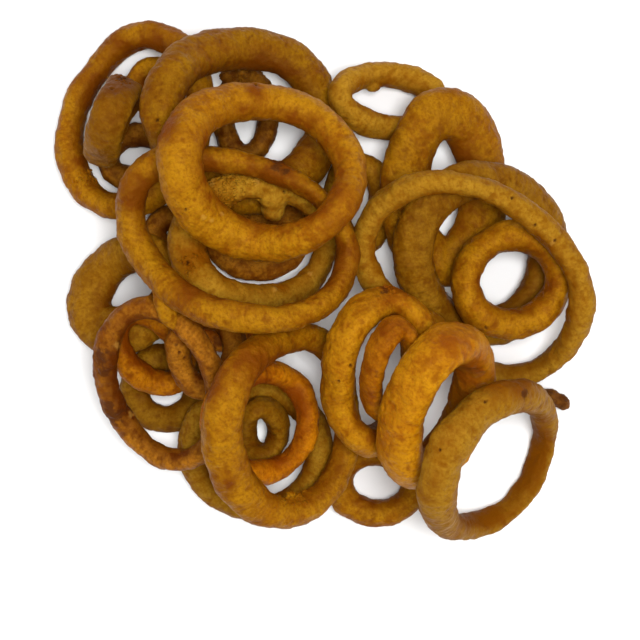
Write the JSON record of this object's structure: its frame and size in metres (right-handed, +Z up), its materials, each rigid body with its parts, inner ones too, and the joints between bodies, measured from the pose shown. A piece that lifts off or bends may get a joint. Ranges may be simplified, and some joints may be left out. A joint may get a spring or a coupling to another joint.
{
  "type": "onion rings side",
  "caption": "A heap of battered, deep-fried onion rings that lie and lean on one another, a side dish to set on a plate or tray.",
  "frame": {"origin": "on the surface the heap lies on, under the middle of its bounding box", "axes": "+Z up; +X to the right and +Y to the top of the heap as seen from straight above"},
  "size_m": [0.2198, 0.2142, 0.0799],
  "materials": {
    "golden_batter": "oily, even golden crust",
    "orange_batter": "darker orange crust",
    "pale_batter": "paler, yellower crust",
    "olive_batter": "dull olive-yellow crust in the shade of the heap",
    "brown_batter": "brown, crisper crust",
    "burnt_batter": "dark crisp batter"
  },
  "bodies": {
    "root": {"crisp_twig": "burnt_batter", "ring_small_upper_left": "golden_batter", "ring_deep_upper_left": "brown_batter", "ring_deep_top": "brown_batter", "ring_middle": "brown_batter", "ring_deep_middle": "brown_batter", "ring_deep_left": "olive_batter", "ring_deep_center": "olive_batter", "ring_bottom": "golden_batter", "ring_under_left": "pale_batter", "ring_arch": "olive_batter", "ring_left_middle": "olive_batter", "ring_dark": "brown_batter", "ring_small_left": "orange_batter", "ring_upright_brown": "brown_batter", "ring_left_rim": "golden_batter", "ring_left_stub": "olive_batter", "ring_thin_brown": "brown_batter", "ring_inner_bottom": "orange_batter", "ring_top": "golden_batter", "ring_top_right": "pale_batter", "ring_upper_right": "golden_batter", "ring_right_arch": "olive_batter", "ring_inner_right": "golden_batter", "ring_crumbly": "pale_batter", "ring_bottom_left": "golden_batter", "ring_right": "pale_batter", "ring_large_thin": "golden_batter", "ring_standing_left": "golden_batter", "ring_inner_standing": "orange_batter", "ring_standing_right": "golden_batter", "ring_lower_right": "pale_batter", "ring_uppermost": "golden_batter"}
  },
  "joints": []
}
